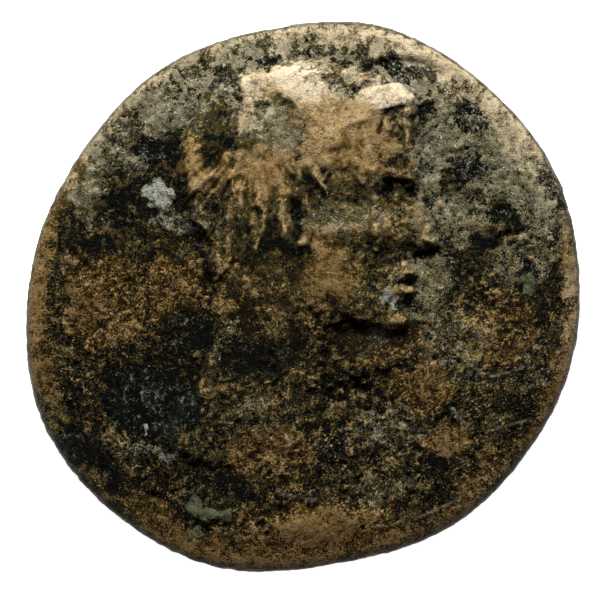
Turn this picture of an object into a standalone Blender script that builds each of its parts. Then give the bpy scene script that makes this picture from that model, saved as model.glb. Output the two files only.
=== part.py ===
"""A worn bronze coin struck with a head facing right, lying on its reverse.

Blender 4.5 script in metres, +Z up. The origin is under the middle of the outline, on the surface that
the coin lies on. +Y points to the crown of the head and +X the way it faces. Angles are in degrees,
turned from +X to +Y.
"""

import math

import bmesh
import bpy
import numpy as np

# Flan, the blank disc
FLAN_RADIUS = 0.01363  # mean radius of the outline
FIELD_HEIGHT = 0.00260  # obverse field above the surface that the coin lies on, at the foot of the dome
DOME_RISE = 0.00022  # how much the obverse swells towards its middle
MARGIN_WIDTH = 0.0026  # outer band of each face that falls away towards the edge
MARGIN_FALL = 0.00030
THICK_SIDE = (-115, 0.00010)  # the blank is thicker towards this angle, by this much at the edge
SHOULDER = 0.00095  # how far in from the outline the rounded edge starts
EDGE_SQUARENESS = 2.6  # power of the edge's rounded section, 2 for a half ellipse

# Waves of the outline: how many go round, height, angle of a crest
EDGE_WAVES = (
    (1, 0.00013, -85),
    (2, 0.00042, 41),
    (3, 0.00015, -27),
    (4, 0.00005, 49),
    (6, 0.00006, 11),
    (8, 0.00007, -16),
)

# Head: the chin is at 0 and the crown at 1 in shares of its height, forward and up from the chin's level
HEAD_HEIGHT = 0.0137
CHIN_HEIGHT = -0.00205  # Y of the chin's underside
HEAD_MIDDLE = 0.0  # X of the line through the ear
HEAD_RELIEF = 0.00105  # how far the temple stands above the field
HEAD_OUTLINE = (
    (0.110, -0.020), (0.215, 0.012), (0.315, -0.005), (0.385, 0.025), (0.403, 0.075), (0.385, 0.125),
    (0.412, 0.165), (0.402, 0.195), (0.424, 0.228), (0.410, 0.268), (0.430, 0.294), (0.486, 0.306),
    (0.500, 0.345), (0.466, 0.440), (0.430, 0.535), (0.440, 0.600), (0.432, 0.700), (0.424, 0.780),
    (0.440, 0.840), (0.395, 0.910), (0.270, 0.975), (0.060, 1.010), (-0.160, 0.985), (-0.340, 0.890),
    (-0.440, 0.740), (-0.458, 0.580), (-0.422, 0.430), (-0.365, 0.300), (-0.345, 0.120), (-0.385, -0.080),
    (-0.480, -0.250), (-0.560, -0.370), (-0.400, -0.460), (-0.160, -0.510), (0.060, -0.480), (0.150, -0.400),
    (0.090, -0.280), (0.080, -0.140),
)
HAIR_OUTLINE = (
    (0.520, 0.830), (0.420, 0.790), (0.280, 0.785), (0.165, 0.720), (0.105, 0.620), (0.090, 0.510),
    (0.040, 0.540), (-0.060, 0.550), (-0.110, 0.440), (-0.150, 0.320), (-0.250, 0.215), (-0.600, 0.190),
    (-0.600, 1.100), (0.000, 1.200), (0.520, 1.150),
)
BORDER_WIDTH = 0.065  # width of the steep border round the head, as a share of the head's height
BORDER_SHARE = 0.52  # how much of the relief that border climbs
ROUNDING_WIDTH = 0.34  # width over which the rest of it swells
HAIR_RISE = 0.13  # heights of the forms on the head are shares of its relief
LOCK_HEIGHT = 0.055
LOCK_COUNT = 26
LOCK_TWIST = 8
HAIR_WHORL = (-0.16, 0.80)
WHORL_RADIUS = 0.12
JAW_LINE = (0.17, -0.40)  # height of the jaw's lower edge at the ear and its slope forward
NECK_SINK = 0.40
FOOT_LEVEL = -0.12  # below this the neck is worn off towards its foot
FOOT_FADE = 0.45

# Forms of the face: forward, up, half length, half width, turn, height
HEAD_FORMS = {
    "brow": (0.360, 0.592, 0.110, 0.038, 6, 0.14),
    "socket": (0.338, 0.522, 0.100, 0.056, -6, -0.42),
    "eyeball": (0.340, 0.514, 0.050, 0.033, -6, 0.30),
    "nose": (0.438, 0.440, 0.150, 0.046, 108, 0.16),
    "nostril wing": (0.432, 0.335, 0.042, 0.034, 20, 0.16),
    "cheekbone": (0.240, 0.400, 0.150, 0.095, -18, 0.20),
    "cheek hollow": (0.250, 0.235, 0.090, 0.070, 60, -0.10),
    "fold by the mouth": (0.348, 0.290, 0.075, 0.028, 50, -0.12),
    "upper lip": (0.388, 0.226, 0.052, 0.022, -8, 0.16),
    "mouth": (0.372, 0.197, 0.060, 0.013, -4, -0.24),
    "lower lip": (0.378, 0.168, 0.046, 0.023, 6, 0.16),
    "hollow over the chin": (0.350, 0.125, 0.058, 0.024, 12, -0.12),
    "chin": (0.335, 0.068, 0.072, 0.052, 20, 0.18),
    "jaw": (0.160, 0.105, 0.200, 0.060, 18, 0.14),
    "temple": (0.250, 0.670, 0.110, 0.070, 20, -0.08),
    "ear hollow": (-0.020, 0.435, 0.034, 0.064, 8, -0.20),
}
EAR = (-0.020, 0.430, 0.056, 0.100, 8, 0.28)  # the ear's rim, a ring with that half width and half length
RING_WIDTH = 0.34  # half width of that ring as a share of its radius

# Dents and swellings of the obverse that wear and corrosion left: X, Y, half length, half width, turn, height
SURFACE_FORMS = {
    "crescent hollow over the forelock": (0.0051, 0.0108, 0.0026, 0.0007, -12, -0.00022),
    "lip of the margin above it": (0.0060, 0.0119, 0.0026, 0.0006, -20, 0.00010),
    "corroded hollow at the lower left": (-0.0073, -0.0050, 0.0034, 0.0027, 10, -0.00016),
    "notch in the lower left margin": (-0.0118, -0.0062, 0.0016, 0.0010, 120, -0.00020),
    "ridge right of the nose": (0.0086, 0.0035, 0.0019, 0.0007, 8, 0.00012),
    "hollow by that ridge": (0.0107, 0.0017, 0.0014, 0.0009, 30, -0.00014),
    "swelling under the chin": (0.0059, -0.0049, 0.0036, 0.0020, 30, 0.00009),
    "swelling at the foot": (0.0012, -0.0112, 0.0046, 0.0014, 6, 0.00010),
    "crust at the lower left": (-0.0049, -0.0106, 0.0013, 0.0007, -10, 0.00012),
    "crust at the left": (-0.0071, 0.0046, 0.0012, 0.0009, 20, 0.00010),
    "hollow at the right": (0.0088, 0.0068, 0.0023, 0.0017, 40, -0.00011),
    "hollow at the upper left": (-0.0080, 0.0084, 0.0024, 0.0016, 35, -0.00010),
}

# Reverse: a wreath round a rosette, worn flat on the surface that the coin lies on
REVERSE_DEPTH = 0.00038  # depth of the reverse field under the worn tops
REVERSE_WEAR = 0.00014  # how much of the forms' height has been worn off
LEAF_FULLNESS = 1.5  # how far the forms swell past their height, which the wear flattens
WREATH_INSET = 0.0044  # from the outline's mean radius to the middle of the branches
WREATH_RADIUS = FLAN_RADIUS - WREATH_INSET
LEAF_LENGTH = 0.0034
LEAF_WIDTH = 0.0013
LEAF_PAIRS = 9  # on each of the two branches
LEAF_SPLAY = 24  # angle from the branch
LEAF_SPREAD = 0.42  # how far a leaf lies from the branch, as a share of its width
BRANCH_GAP = 16  # angle left open at the top and the bottom, either side
PETAL_COUNT = 8
PETAL_LENGTH = 0.0034
PETAL_WIDTH = 0.0014
BOSS_RADIUS = 0.0013
BOSS_SLOPE = 0.0004

# Mesh
GRID = 140  # squares across each face before it is thinned
EDGE_RINGS = 7  # rings of the rounded edge between the two faces
TRIANGLES = 9200
FLATNESS = 0.00003  # what lies this near the surface below is worn flat onto it
RELIEF_FADE = 0.0008  # the striking dies out over this width at the edge


def ramp(t):
    """0 below 0, 1 above 1 and smooth between."""
    t = np.clip(t, 0, 1)
    return t * t * (3 - 2 * t)


def outline_radius(angle):
    """Radius of the coin's outline at an angle in radians."""
    waves = (size * np.cos(count * (angle - math.radians(crest))) for count, size, crest in EDGE_WAVES)
    return FLAN_RADIUS + sum(waves)


def turned(x, y, place, turn):
    """Coordinates along and across a form that lies at place, turned by an angle in degrees."""
    c, s = math.cos(math.radians(turn)), math.sin(math.radians(turn))
    dx, dy = x - place[0], y - place[1]
    return dx * c + dy * s, dy * c - dx * s


def swell(x, y, place, length, width, turn):
    """A soft oval swelling of height 1 that ends at its half length and half width."""
    along, across = turned(x, y, place, turn)
    return np.clip(1 - (along / length) ** 2 - (across / width) ** 2, 0, 1) ** 1.5


def ring(x, y, place, length, width, turn):
    """A soft oval ring of height 1."""
    along, across = turned(x, y, place, turn)
    radius = np.hypot(along / length, across / width)
    return np.exp(-(((radius - 1) / RING_WIDTH) ** 2))


def smooth_loop(points, steps=6):
    """A closed Catmull-Rom curve through the points."""
    p = np.array(points)
    before, after, beyond = np.roll(p, 1, 0), np.roll(p, -1, 0), np.roll(p, -2, 0)
    curve = []
    for t in np.arange(steps) / steps:
        curve.append(
            p + 0.5 * t * ((after - before) + t * (2 * before - 5 * p + 4 * after - beyond)
                           + t * t * (3 * p - before - 3 * after + beyond))
        )
    return np.stack(curve, 1).reshape(-1, 2)


def depth_inside(x, y, loop):
    """Distance of each point from a closed loop, positive inside it."""
    nearest = np.full(x.shape, np.inf)
    inside = np.zeros(x.shape, bool)
    for (ax, ay), (bx, by) in zip(loop, np.roll(loop, -1, 0)):
        along = ((x - ax) * (bx - ax) + (y - ay) * (by - ay)) / ((bx - ax) ** 2 + (by - ay) ** 2)
        along = np.clip(along, 0, 1)
        nearest = np.minimum(nearest, np.hypot(x - ax - along * (bx - ax), y - ay - along * (by - ay)))
        if ay != by:
            crosses = ((ay > y) != (by > y)) & (x < ax + (y - ay) * (bx - ax) / (by - ay))
            inside ^= crosses
    return np.where(inside, nearest, -nearest)


def head_relief(x, y):
    """Height of the struck head above the field."""
    u, v = (x - HEAD_MIDDLE) / HEAD_HEIGHT, (y - CHIN_HEIGHT) / HEAD_HEIGHT
    inside = depth_inside(u, v, smooth_loop(HEAD_OUTLINE))
    height = BORDER_SHARE * ramp(inside / BORDER_WIDTH)
    height = height + (1 - BORDER_SHARE) * ramp(inside / ROUNDING_WIDTH) ** 0.8

    # The neck lies lower than the jaw, and its foot is worn into the field
    under_jaw = ramp((JAW_LINE[0] + JAW_LINE[1] * u - v) / 0.13) * ramp((u + 0.42) / 0.25)
    height = height * (1 - NECK_SINK * under_jaw - FOOT_FADE * ramp((FOOT_LEVEL - v) / 0.36))

    for form in HEAD_FORMS.values():
        height = height + form[5] * swell(u, v, form[:2], *form[2:5]) * ramp(inside / 0.02)
    height = height + EAR[5] * ring(u, v, EAR[:2], *EAR[2:5]) * ramp((EAR[0] + EAR[2] - u) / 0.04)

    # Hair: a raised cap with locks combed from the whorl
    hair = ramp(depth_inside(u, v, smooth_loop(HAIR_OUTLINE)) / 0.035) * ramp(inside / 0.05)
    from_whorl = np.hypot(u - HAIR_WHORL[0], v - HAIR_WHORL[1])
    round_whorl = np.arctan2(v - HAIR_WHORL[1], u - HAIR_WHORL[0])
    locks = np.cos(LOCK_COUNT * round_whorl + LOCK_TWIST * from_whorl)
    locks = locks * ramp((from_whorl - WHORL_RADIUS) / 0.2)
    height = height + hair * (HAIR_RISE + LOCK_HEIGHT * locks)
    return HEAD_RELIEF * np.where(inside > -0.02, height, 0)


def obverse_height(x, y):
    """Height of the obverse over each point of the coin."""
    radius, angle = np.hypot(x, y), np.arctan2(y, x)
    from_edge = outline_radius(angle) - SHOULDER - radius
    field = FIELD_HEIGHT + DOME_RISE * (1 - (radius / FLAN_RADIUS) ** 2)
    field = field + THICK_SIDE[1] * radius / FLAN_RADIUS * np.cos(angle - math.radians(THICK_SIDE[0]))
    field = field - MARGIN_FALL * (1 - ramp((from_edge + SHOULDER) / MARGIN_WIDTH))
    relief = head_relief(x, y)
    for form in SURFACE_FORMS.values():
        relief = relief + form[5] * swell(x, y, form[:2], *form[2:5])
    return field + relief * ramp((from_edge + RELIEF_FADE) / RELIEF_FADE / 2)


def wreath(x, y):
    """The two branches of the wreath, as the share of the relief's height."""
    height = np.zeros(x.shape)
    for side in (-1, 1):
        for pair in range(LEAF_PAIRS):
            share = (pair + 0.5) / LEAF_PAIRS
            angle = math.radians(-90 + side * (BRANCH_GAP + share * (180 - 2 * BRANCH_GAP)))
            along_branch = math.degrees(angle) + side * 90
            for splay in (-1, 1):
                out = WREATH_RADIUS + splay * side * LEAF_SPREAD * LEAF_WIDTH
                place = (out * math.cos(angle), out * math.sin(angle))
                leaf = swell(x, y, place, LEAF_LENGTH / 2, LEAF_WIDTH / 2, along_branch - splay * LEAF_SPLAY)
                height = np.maximum(height, leaf)
    return height


def rosette(x, y):
    """Petals round a flat boss, as the share of the relief's height."""
    height = ramp((BOSS_RADIUS + BOSS_SLOPE - np.hypot(x, y)) / BOSS_SLOPE)
    for petal in range(PETAL_COUNT):
        angle = 2 * math.pi * (petal + 0.5) / PETAL_COUNT
        out = BOSS_RADIUS + 0.55 * PETAL_LENGTH
        place = (out * math.cos(angle), out * math.sin(angle))
        turn = math.degrees(angle)
        height = np.maximum(height, swell(x, y, place, PETAL_LENGTH / 2, PETAL_WIDTH / 2, turn))
    return height


def reverse_height(x, y):
    """Height of the reverse over each point of the coin, never below the surface it lies on."""
    radius, angle = np.hypot(x, y), np.arctan2(y, x)
    from_edge = outline_radius(angle) - SHOULDER - radius
    field = REVERSE_DEPTH + MARGIN_FALL * (1 - ramp((from_edge + SHOULDER) / MARGIN_WIDTH))
    struck = REVERSE_DEPTH + REVERSE_WEAR
    relief = LEAF_FULLNESS * struck * np.maximum(wreath(x, y), rosette(x, y))
    return np.maximum(field - np.minimum(relief, struck), 0)


def place_on_face(bm, verts, height_of):
    """Spreads a square grid over the coin's face, inside its shoulder, and lifts it to its relief."""
    flat = np.array([vert.co[:2] for vert in verts])
    s, t = flat[:, 0], flat[:, 1]
    x, y = s * np.sqrt(1 - t * t / 2), t * np.sqrt(1 - s * s / 2)
    angle, share = np.arctan2(y, x), np.hypot(x, y)
    radius = share * (outline_radius(angle) - SHOULDER)
    x, y = radius * np.cos(angle), radius * np.sin(angle)
    for vert, place in zip(verts, np.stack([x, y, height_of(x, y)], 1)):
        vert.co = place


def face_grid(bm, height_of, upward):
    """Adds one struck face to the mesh and returns its border edges."""
    made = bmesh.ops.create_grid(bm, x_segments=GRID, y_segments=GRID, size=1)["verts"]
    place_on_face(bm, made, height_of)
    faces = list({face for vert in made for face in vert.link_faces})
    if not upward:
        bmesh.ops.reverse_faces(bm, faces=faces)
    return [edge for edge in {edge for face in faces for edge in face.edges} if edge.is_boundary]


def round_edge(bm, border):
    """Extrudes the obverse's border round the coin's edge, down towards the reverse."""
    for ring_number in range(1, EDGE_RINGS + 1):
        made = bmesh.ops.extrude_edge_only(bm, edges=border)["geom"]
        verts = [item for item in made if isinstance(item, bmesh.types.BMVert)]
        border = [item for item in made if isinstance(item, bmesh.types.BMEdge) and item.is_boundary]
        angle = np.array([math.atan2(vert.co.y, vert.co.x) for vert in verts])
        outer = outline_radius(angle)
        x, y = (outer - SHOULDER) * np.cos(angle), (outer - SHOULDER) * np.sin(angle)
        top, foot = obverse_height(x, y), reverse_height(x, y)

        turn = math.pi * ring_number / (EDGE_RINGS + 1)
        out = math.sin(turn) ** (2 / EDGE_SQUARENESS)
        up = math.copysign(abs(math.cos(turn)) ** (2 / EDGE_SQUARENESS), math.cos(turn))
        radius = outer - SHOULDER * (1 - out)
        height = (top + foot) / 2 + up * (top - foot) / 2
        for vert, place in zip(verts, np.stack([radius * np.cos(angle), radius * np.sin(angle), height], 1)):
            vert.co = place
    return border


def bronze():
    """Worn bronze with a dark patina."""
    material = bpy.data.materials.new("worn bronze")
    material.use_nodes = True
    shader = material.node_tree.nodes["Principled BSDF"]
    shader.inputs["Base Color"].default_value = (0.13, 0.09, 0.05, 1)
    shader.inputs["Metallic"].default_value = 0.7
    shader.inputs["Roughness"].default_value = 0.55
    return material


def coin():
    """The coin as one solid: two struck faces joined round the edge, then thinned to the forms that show."""
    bm = bmesh.new()
    top_border = face_grid(bm, obverse_height, upward=True)
    foot_border = face_grid(bm, reverse_height, upward=False)
    bmesh.ops.bridge_loops(bm, edges=round_edge(bm, top_border) + foot_border)
    bmesh.ops.recalc_face_normals(bm, faces=bm.faces)
    mesh = bpy.data.meshes.new("coin")
    bm.to_mesh(mesh)
    bm.free()

    obj = bpy.data.objects.new("coin", mesh)
    bpy.context.scene.collection.objects.link(obj)
    mesh.materials.append(bronze())
    triangles = sum(len(polygon.vertices) - 2 for polygon in mesh.polygons)
    thin = obj.modifiers.new("thin", "DECIMATE")
    thin.ratio = min(1, TRIANGLES / triangles)
    bpy.context.view_layer.objects.active = obj
    bpy.ops.object.modifier_apply(modifier=thin.name)

    # The worn tops of the reverse lie flat on the surface below
    for vert in obj.data.vertices:
        if vert.co.z < FLATNESS:
            vert.co.z = 0


def main():
    for obj in list(bpy.data.objects):
        bpy.data.objects.remove(obj)
    coin()


main()
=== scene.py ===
import math

import bpy
import numpy as np
from mathutils import Euler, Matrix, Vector, noise


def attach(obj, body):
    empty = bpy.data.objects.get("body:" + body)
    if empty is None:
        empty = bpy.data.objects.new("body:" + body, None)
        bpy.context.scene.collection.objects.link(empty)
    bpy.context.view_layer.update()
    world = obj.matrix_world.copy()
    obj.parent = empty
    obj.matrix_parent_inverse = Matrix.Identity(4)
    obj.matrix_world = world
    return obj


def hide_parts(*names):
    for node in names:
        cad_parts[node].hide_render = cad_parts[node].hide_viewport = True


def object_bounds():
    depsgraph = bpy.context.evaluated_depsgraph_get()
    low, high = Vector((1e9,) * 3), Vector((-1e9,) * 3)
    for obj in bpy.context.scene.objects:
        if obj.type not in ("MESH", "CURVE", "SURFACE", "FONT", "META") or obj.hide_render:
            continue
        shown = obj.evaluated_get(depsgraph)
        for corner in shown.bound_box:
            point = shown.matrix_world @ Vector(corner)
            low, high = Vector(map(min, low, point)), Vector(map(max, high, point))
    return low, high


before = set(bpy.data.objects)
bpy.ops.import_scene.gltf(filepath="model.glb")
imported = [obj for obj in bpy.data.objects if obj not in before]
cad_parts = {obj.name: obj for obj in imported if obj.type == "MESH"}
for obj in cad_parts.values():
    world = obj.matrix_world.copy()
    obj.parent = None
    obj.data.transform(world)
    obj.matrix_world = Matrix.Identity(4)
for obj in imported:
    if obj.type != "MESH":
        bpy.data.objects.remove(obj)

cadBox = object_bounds()
mm = 0.001  # the shapes below are in millimetres, the mesh is in metres
noiseTurn = (0.6, 0.9, 0.4)  # the noises are turned, so that none of their grid shows


# Small helpers for shapes

def ramp(t):
    t = np.clip(t, 0, 1)
    return t * t * (3 - 2 * t)


def mix(a, b, share):
    return a + (b - a) * share


def turned(x, y, place, turn):
    c, s = math.cos(math.radians(turn)), math.sin(math.radians(turn))
    dx, dy = x - place[0], y - place[1]
    return dx * c + dy * s, dy * c - dx * s


def swell(x, y, place, length, width, turn):
    # a soft oval swelling, 1 in the middle and 0 at its half length and half width
    along, across = turned(x, y, place, turn)
    return np.clip(1 - (along / length) ** 2 - (across / width) ** 2, 0, 1) ** 1.5


def ring(x, y, place, length, width, turn, thickness=0.34):
    along, across = turned(x, y, place, turn)
    radius = np.hypot(along / length, across / width)
    return np.exp(-(((radius - 1) / thickness) ** 2))


def smoothCurve(points, closed, steps=6):
    # a Catmull-Rom curve through the points
    p = np.array(points, float)
    if closed:
        before, after, beyond = np.roll(p, 1, 0), np.roll(p, -1, 0), np.roll(p, -2, 0)
    else:
        long = np.vstack([p[:1], p, p[-1:], p[-1:]])
        before, p, after, beyond = long[:-3], long[1:-2], long[2:-1], long[3:]
    curve = []
    for t in np.arange(steps) / steps:
        curve.append(
            p + 0.5 * t * ((after - before) + t * (2 * before - 5 * p + 4 * after - beyond)
                           + t * t * (3 * p - before - 3 * after + beyond))
        )
    return np.stack(curve, 1).reshape(-1, 2)


def distanceTo(x, y, a, b):
    along = ((x - a[0]) * (b[0] - a[0]) + (y - a[1]) * (b[1] - a[1])) / (math.dist(a, b) ** 2 + 1e-12)
    along = np.clip(along, 0, 1)
    return np.hypot(x - a[0] - along * (b[0] - a[0]), y - a[1] - along * (b[1] - a[1]))


def depthInside(x, y, loop):
    # how far each point lies from a closed loop, positive inside it
    nearest = np.full(x.shape, np.inf)
    inside = np.zeros(x.shape, bool)
    for a, b in zip(loop, np.roll(loop, -1, 0)):
        nearest = np.minimum(nearest, distanceTo(x, y, a, b))
        if a[1] != b[1]:
            crossing = a[0] + (y - a[1]) * (b[0] - a[0]) / (b[1] - a[1])
            inside ^= ((a[1] > y) != (b[1] > y)) & (x < crossing)
    return np.where(inside, nearest, -nearest)


def nearCurve(x, y, points, width):
    # 1 on an open curve, falling to 0 away from it
    curve = smoothCurve(points, closed=False)
    nearest = np.full(x.shape, np.inf)
    for a, b in zip(curve[:-1], curve[1:]):
        nearest = np.minimum(nearest, distanceTo(x, y, a, b))
    return np.exp(-((nearest / width) ** 2))


def cloud(places, size, seed, octaves=3):
    # fractal noise of about -1 to 1 with lumps of that size
    shifted = places @ np.array(Euler(noiseTurn).to_matrix()) / size + seed
    return np.array([noise.fractal(Vector(spot), 0.7, 2.1, octaves) for spot in shifted])


# The coin's body

flan = {
    "radius": 13.61,
    # how the outline strays from a circle: waves round it, size, angle of a crest
    "waves": ((1, 0.13, -85), (2, 0.42, 41), (3, 0.15, -27), (4, 0.05, 49), (6, 0.06, 11), (8, 0.07, -16)),
    "field": 2.60,
    "dome": 0.22,
    "marginWidth": 2.6,
    "marginFall": 0.30,
    "thickSide": (-115, 0.10),  # angle, rise
    "shoulder": 0.95,
    "squareness": 2.6,
    "edgeRings": 14,
    "obverseGrid": 252,
    "reverseGrid": 130,
}


def outlineRadius(angle):
    waves = (size * np.cos(count * (angle - math.radians(crest))) for count, size, crest in flan["waves"])
    return flan["radius"] + sum(waves)


def marginShare(x, y):
    # 0 at the outline, 1 inside the margin that falls away towards it
    fromOutline = outlineRadius(np.arctan2(y, x)) - np.hypot(x, y)
    return ramp(fromOutline / flan["marginWidth"])


# The head, in shares of its height: forward and up from the chin's level

head = {
    "height": 13.7,
    "chin": -2.05,
    "middle": 0.0,
    "relief": 1.05,
    "outline": (
        (0.110, -0.020), (0.215, 0.012), (0.315, -0.005), (0.385, 0.025), (0.403, 0.075), (0.385, 0.125),
        (0.412, 0.165), (0.402, 0.195), (0.424, 0.228), (0.410, 0.268), (0.430, 0.294), (0.486, 0.306),
        (0.500, 0.345), (0.466, 0.440), (0.430, 0.535), (0.440, 0.600), (0.432, 0.700), (0.424, 0.780),
        (0.440, 0.840), (0.395, 0.910), (0.270, 0.975), (0.060, 1.010), (-0.160, 0.985), (-0.340, 0.890),
        (-0.440, 0.740), (-0.458, 0.580), (-0.422, 0.430), (-0.365, 0.300), (-0.345, 0.120),
        (-0.385, -0.080), (-0.480, -0.250), (-0.560, -0.370), (-0.400, -0.460), (-0.160, -0.510),
        (0.060, -0.480), (0.150, -0.400), (0.090, -0.280), (0.080, -0.140),
    ),
    "hair": (
        (0.520, 0.830), (0.420, 0.790), (0.280, 0.785), (0.165, 0.720), (0.105, 0.620), (0.090, 0.510),
        (0.040, 0.540), (-0.060, 0.550), (-0.110, 0.440), (-0.150, 0.320), (-0.250, 0.215), (-0.600, 0.190),
        (-0.600, 1.100), (0.000, 1.200), (0.520, 1.150),
    ),
    "whorl": (-0.16, 0.80),
    "locks": 26,
    "sweep": 8,  # how far the locks bend on their way out
    "rubbed": (0.17, 0.78, 0.36, 0.20, -6),  # where the hair is worn smooth
    # forward, up, half length, half width, turn, height as a share of the relief
    "forms": {
        "brow": (0.360, 0.592, 0.110, 0.038, 6, 0.14),
        "socket": (0.338, 0.522, 0.100, 0.056, -6, -0.42),
        "eyeball": (0.340, 0.514, 0.050, 0.033, -6, 0.30),
        "upper lid": (0.342, 0.543, 0.062, 0.012, -4, 0.14),
        "lower lid": (0.340, 0.487, 0.052, 0.010, -8, 0.08),
        "nose": (0.438, 0.440, 0.150, 0.046, 108, 0.16),
        "nostril wing": (0.432, 0.335, 0.042, 0.034, 20, 0.16),
        "nostril": (0.452, 0.312, 0.020, 0.010, 10, -0.16),
        "cheekbone": (0.240, 0.400, 0.150, 0.095, -18, 0.20),
        "cheek hollow": (0.250, 0.235, 0.090, 0.070, 60, -0.10),
        "fold by the mouth": (0.348, 0.290, 0.075, 0.028, 50, -0.12),
        "upper lip": (0.388, 0.226, 0.052, 0.022, -8, 0.16),
        "mouth": (0.372, 0.197, 0.060, 0.013, -4, -0.24),
        "lower lip": (0.378, 0.168, 0.046, 0.023, 6, 0.16),
        "hollow over the chin": (0.350, 0.125, 0.058, 0.024, 12, -0.12),
        "chin": (0.335, 0.068, 0.072, 0.052, 20, 0.18),
        "jaw": (0.160, 0.105, 0.200, 0.060, 18, 0.14),
        "temple": (0.250, 0.670, 0.110, 0.070, 20, -0.08),
        "ear hollow": (-0.020, 0.435, 0.034, 0.064, 8, -0.20),
        "ear lobe": (-0.002, 0.345, 0.026, 0.026, 0, 0.14),
        "neck muscle": (-0.080, 0.010, 0.300, 0.050, -58, 0.10),
        "throat": (0.050, -0.120, 0.140, 0.030, 84, 0.08),
    },
    "ear": (-0.020, 0.430, 0.056, 0.100, 8, 0.19),
}


def headRelief(x, y):
    u, v = (x - head["middle"]) / head["height"], (y - head["chin"]) / head["height"]
    inside = depthInside(u, v, smoothCurve(head["outline"], closed=True))
    height = 0.52 * ramp(inside / 0.065) + 0.48 * ramp(inside / 0.34) ** 0.8

    # the neck lies lower than the jaw and its foot is worn into the field
    underJaw = ramp((0.17 - 0.40 * u - v) / 0.13) * ramp((u + 0.42) / 0.25)
    height = height * (1 - 0.40 * underJaw - 0.45 * ramp((-0.12 - v) / 0.36))

    for form in head["forms"].values():
        height = height + form[5] * swell(u, v, form[:2], *form[2:5]) * ramp(inside / 0.02)
    ear = head["ear"]
    height = height + ear[5] * ring(u, v, ear[:2], *ear[2:5]) * ramp((ear[0] + ear[2] - u) / 0.04)

    # hair combed from the whorl in uneven locks, with short ends over the brow and the nape
    fromWhorl = np.hypot(u - head["whorl"][0], v - head["whorl"][1])
    roundWhorl = np.arctan2(v - head["whorl"][1], u - head["whorl"][0])
    comb = head["locks"] * roundWhorl + head["sweep"] * fromWhorl
    comb = comb + 1.2 * np.sin(5 * roundWhorl + 14 * fromWhorl)
    ends = depthInside(u, v, smoothCurve(head["hair"], closed=True)) + 0.012 * np.cos(comb)
    hair = ramp(ends / 0.035) * ramp(inside / 0.05)
    rubbed = ramp(1.5 * swell(u, v, head["rubbed"][:2], *head["rubbed"][2:]))
    strands = (np.cos(comb) + 0.45 * np.cos(2.7 * comb + 3 * np.sin(9 * fromWhorl))) * (1 - 0.93 * rubbed)
    height = height + hair * (0.13 + 0.055 * strands * ramp((fromWhorl - 0.12) / 0.2))
    return head["relief"] * np.where(inside > -0.02, height, 0)


# What wear and corrosion left on the obverse: x, y, half length, half width, turn, height

wear = {
    "forms": {
        "crescent hollow over the forelock": (5.1, 10.8, 2.6, 0.7, -12, -0.10),
        "lip of the margin above it": (6.0, 11.9, 2.6, 0.6, -20, 0.05),
        "corroded hollow at the lower left": (-7.3, -5.0, 3.4, 2.7, 10, -0.16),
        "notch in the lower left margin": (-11.8, -6.2, 1.6, 1.0, 120, -0.20),
        "ridge right of the nose": (8.6, 3.5, 1.9, 0.7, 8, 0.12),
        "worn metal by the mouth": (6.0, 0.6, 1.2, 1.6, 0, 0.10),
        "hollow by that ridge": (10.7, 1.7, 1.4, 0.9, 30, -0.14),
        "swelling under the chin": (5.9, -4.9, 3.6, 2.0, 30, 0.09),
        "swelling at the foot": (1.2, -11.2, 4.6, 1.4, 6, 0.10),
        "crust at the lower left": (-4.9, -10.6, 1.3, 0.7, -10, 0.12),
        "worn metal under the chin": (3.3, -2.9, 3.4, 1.6, 0, 0.44),
        "crust at the left": (-7.1, 4.6, 1.2, 0.9, 20, 0.10),
        "hollow at the right": (8.8, 6.8, 2.3, 1.7, 40, -0.11),
        "hollow at the upper left": (-8.0, 8.4, 2.4, 1.6, 35, -0.10),
    },
    # folds of the metal: points, half width, height
    "grooves": (
        (((2.76, 11.12), (4.29, 11.51), (5.87, 11.36), (6.75, 10.92)), 0.17, -0.20),
        (((2.80, 11.50), (4.30, 11.92), (5.95, 11.76), (6.90, 11.30)), 0.24, 0.07),
        (((2.32, 9.98), (4.73, 10.58), (5.72, 9.74)), 0.15, -0.15),
        (((5.52, 9.34), (4.09, 8.95), (3.70, 8.01)), 0.12, -0.12),
        (((-3.6, -2.3), (-1.4, -3.2), (0.4, -3.9), (2.0, -4.7)), 0.13, 0.09),
        (((8.0, 3.6), (9.4, 3.3), (10.6, 3.7)), 0.30, 0.09),
        (((7.4, 7.2), (8.6, 7.6), (9.6, 7.0), (10.0, 6.0)), 0.35, 0.09),
    ),
    # old scratches, bright with bare metal
    "scratches": (
        ((3.35, -11.21), (5.40, -10.85), (7.40, -9.98)),
        ((6.56, -7.17), (7.40, -7.81)),
        ((8.92, -6.58), (10.79, -6.09)),
        ((7.6, -9.3), (9.3, -8.6)),
        ((3.0, 8.1), (3.2, 7.2), (3.5, 6.5)),
        ((9.2, -3.9), (10.6, -3.5)),
        ((-1.2, -9.6), (0.5, -9.9)),
    ),
    # round pits with a raised lip: x, y, radius, depth
    "craters": (
        (-4.5, 6.6, 0.80, 0.14), (-3.0, 5.6, 0.42, 0.09), (-2.3, 4.0, 0.45, 0.09), (10.9, 1.5, 0.45, 0.12),
        (-11.1, -3.9, 0.28, 0.10), (-10.9, -4.6, 0.24, 0.10), (-11.4, -5.2, 0.22, 0.08),
        (10.3, 6.5, 0.20, 0.08), (11.4, 6.5, 0.20, 0.08), (2.9, -11.3, 0.18, 0.08), (6.7, -8.1, 0.40, 0.08),
    ),
}

# Patches of the patina on the obverse, with painted highlight in the pale ones and painted shade in a few
# dark ones: x, y, half length, half width, turn, strength

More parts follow.
